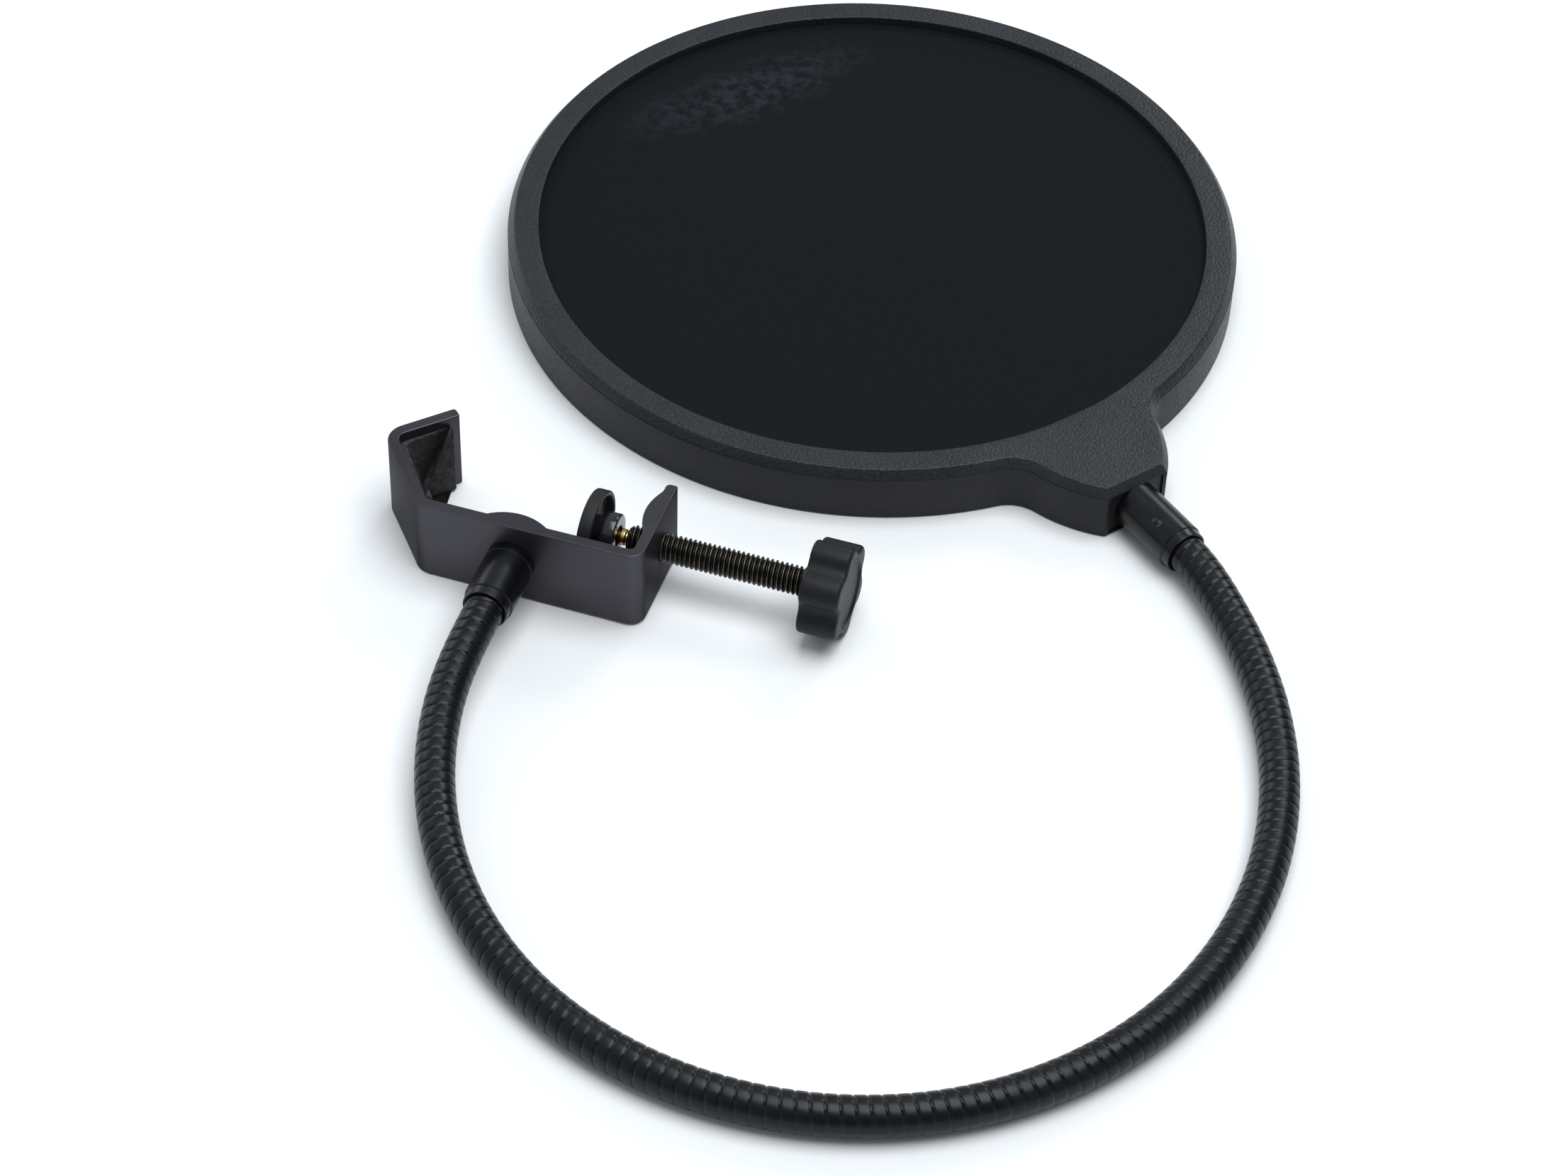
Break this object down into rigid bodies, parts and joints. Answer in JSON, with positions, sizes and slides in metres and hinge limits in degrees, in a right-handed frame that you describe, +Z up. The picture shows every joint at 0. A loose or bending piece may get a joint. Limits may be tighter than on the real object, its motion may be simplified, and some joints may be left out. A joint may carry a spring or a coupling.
{
  "type": "pop filter",
  "caption": "Round mesh microphone pop filter with a tabbed plastic hoop on a curved gooseneck, ending in a screw clamp with a V jaw and a lobed knob, lying flat.",
  "frame": {"origin": "bottom centre of the whole part's box as it lies on a table", "axes": "+Z up from the table, +Y from the gooseneck's loop to the far side of the hoop, +X to the right, with the clamp on the left"},
  "size_m": [0.1791, 0.314, 0.0204],
  "materials": {
    "cover_plastic": "fine textured charcoal plastic with a narrow bevel",
    "shell_plastic": "smooth satin black plastic",
    "mesh_fabric": "fine black nylon knit, stretched tight",
    "ring_plastic": "plain black plastic, hidden",
    "tab_screw_steel": "black zinc",
    "ferrule_metal": "gloss black",
    "gooseneck_metal": "semi-gloss black, wound",
    "bracket_aluminium": "satin black anodised",
    "pad_felt": "black felt pad",
    "neck_screw_steel": "black zinc",
    "washer_steel": "plain zinc",
    "screw_steel": "black oxide worn to a warm glint on the crests",
    "knob_plastic": "finely textured black plastic",
    "swivel_brass": "turned brass",
    "collar_metal": "gloss black",
    "disc_metal": "satin black",
    "foot_rubber": "black rubber face"
  },
  "bodies": {
    "clamp": {"clamp_bracket": "bracket_aluminium", "jaw_pad": "pad_felt", "clamp_ferrule": "ferrule_metal", "neck_screw": "neck_screw_steel", "neck_washer": "washer_steel"},
    "link_16": {"neck_link_16": "gooseneck_metal"},
    "link_15": {"neck_link_15": "gooseneck_metal"},
    "link_14": {"neck_link_14": "gooseneck_metal"},
    "link_13": {"neck_link_13": "gooseneck_metal"},
    "link_12": {"neck_link_12": "gooseneck_metal"},
    "link_11": {"neck_link_11": "gooseneck_metal"},
    "link_10": {"neck_link_10": "gooseneck_metal"},
    "link_09": {"neck_link_09": "gooseneck_metal"},
    "link_08": {"neck_link_08": "gooseneck_metal"},
    "link_07": {"neck_link_07": "gooseneck_metal"},
    "link_06": {"neck_link_06": "gooseneck_metal"},
    "link_05": {"neck_link_05": "gooseneck_metal"},
    "link_04": {"neck_link_04": "gooseneck_metal"},
    "link_03": {"neck_link_03": "gooseneck_metal"},
    "link_02": {"neck_link_02": "gooseneck_metal"},
    "link_01": {"neck_link_01": "gooseneck_metal"},
    "hoop": {"front_cover": "cover_plastic", "rear_shell": "shell_plastic", "front_mesh": "mesh_fabric", "rear_mesh": "mesh_fabric", "front_mesh_hoop": "ring_plastic", "rear_mesh_hoop": "ring_plastic", "spacer_ring": "ring_plastic", "tab_screws": "tab_screw_steel", "hoop_ferrule": "ferrule_metal"},
    "swivel": {"swivel_pin": "swivel_brass"},
    "screw": {"clamp_screw": "screw_steel", "knob": "knob_plastic"},
    "foot": {"foot_collar": "collar_metal", "foot_disc": "disc_metal", "foot_pad": "foot_rubber"}
  },
  "joints": [
    {"name": "neck_bend_17", "type": "hinge", "parent": "clamp", "child": "link_16", "pos_m": [-0.06818, -0.04066, 0.00958], "axis": [0, 0, -1], "range_deg": [-22, 8]},
    {"name": "neck_bend_16", "type": "hinge", "parent": "link_16", "child": "link_15", "pos_m": [-0.07331, -0.06184, 0.0075], "axis": [-0.9937, 0.1118, 0], "range_deg": [-18, 18]},
    {"name": "neck_bend_15", "type": "hinge", "parent": "link_15", "child": "link_14", "pos_m": [-0.07301, -0.08363, 0.00581], "axis": [0, 0, -1], "range_deg": [-21, 16]},
    {"name": "neck_bend_14", "type": "hinge", "parent": "link_14", "child": "link_13", "pos_m": [-0.0672, -0.10464, 0.00456], "axis": [0.9204, 0.391, 0], "range_deg": [-18, 18]},
    {"name": "neck_bend_13", "type": "hinge", "parent": "link_13", "child": "link_12", "pos_m": [-0.05612, -0.1234, 0.00395], "axis": [0, 0, -1], "range_deg": [-12, 22]},
    {"name": "neck_bend_12", "type": "hinge", "parent": "link_12", "child": "link_11", "pos_m": [-0.04041, -0.1385, 0.00395], "axis": [-0.5859, -0.8104, 0], "range_deg": [-18, 18]},
    {"name": "neck_bend_11", "type": "hinge", "parent": "link_11", "child": "link_10", "pos_m": [-0.02114, -0.14869, 0.00395], "axis": [0, 0, -1], "range_deg": [-5, 22]},
    {"name": "neck_bend_10", "type": "hinge", "parent": "link_10", "child": "link_09", "pos_m": [0.00021, -0.15306, 0.00395], "axis": [0.0589, 0.9983, 0], "range_deg": [-18, 18]},
    {"name": "neck_bend_09", "type": "hinge", "parent": "link_09", "child": "link_08", "pos_m": [0.02193, -0.15123, 0.00395], "axis": [0, 0, -1], "range_deg": [-4, 22]},
    {"name": "neck_bend_08", "type": "hinge", "parent": "link_08", "child": "link_07", "pos_m": [0.04227, -0.1434, 0.00395], "axis": [0.4842, -0.875, 0], "range_deg": [-18, 18]},
    {"name": "neck_bend_07", "type": "hinge", "parent": "link_07", "child": "link_06", "pos_m": [0.0597, -0.13033, 0.00395], "axis": [0, 0, -1], "range_deg": [-4, 22]},
    {"name": "neck_bend_06", "type": "hinge", "parent": "link_06", "child": "link_05", "pos_m": [0.07311, -0.11315, 0.00395], "axis": [-0.8592, 0.5117, 0], "range_deg": [-18, 18]},
    {"name": "neck_bend_05", "type": "hinge", "parent": "link_05", "child": "link_04", "pos_m": [0.08183, -0.09317, 0.00395], "axis": [0, 0, 1], "range_deg": [-22, 4]},
    {"name": "neck_bend_04", "type": "hinge", "parent": "link_04", "child": "link_03", "pos_m": [0.08565, -0.07172, 0.00395], "axis": [0.9978, -0.0658, 0], "range_deg": [-18, 18]},
    {"name": "neck_bend_03", "type": "hinge", "parent": "link_03", "child": "link_02", "pos_m": [0.08468, -0.04995, 0.00412], "axis": [0, 0, 1], "range_deg": [-22, 6]},
    {"name": "neck_bend_02", "type": "hinge", "parent": "link_02", "child": "link_01", "pos_m": [0.07921, -0.02885, 0.00464], "axis": [-0.938, -0.3468, 0], "range_deg": [-18, 18]},
    {"name": "neck_bend_01", "type": "hinge", "parent": "link_01", "child": "hoop", "pos_m": [0.06964, -0.00927, 0.0055], "axis": [0, 0, 1], "range_deg": [-22, 8]},
    {"name": "foot_travel", "type": "slide", "parent": "clamp", "child": "swivel", "axis": [-0.9584, 0.2853, -0.0098], "range_m": [-0.0045, 0.025]},
    {"name": "screw_turn", "type": "hinge", "parent": "swivel", "child": "screw", "pos_m": [-0.03354, -0.01894, 0.00985], "axis": [-0.9584, 0.2853, -0.0098], "range_deg": [-1620, 9000]},
    {"name": "foot_tilt", "type": "hinge", "parent": "swivel", "child": "foot", "pos_m": [-0.04494, -0.01554, 0.00973], "axis": [0, 0, 1], "range_deg": [-5, 5]}
  ],
  "couplings": [
    {"joint": "screw_turn", "follows": "foot_travel", "rad_per_m": 6283.2}
  ]
}
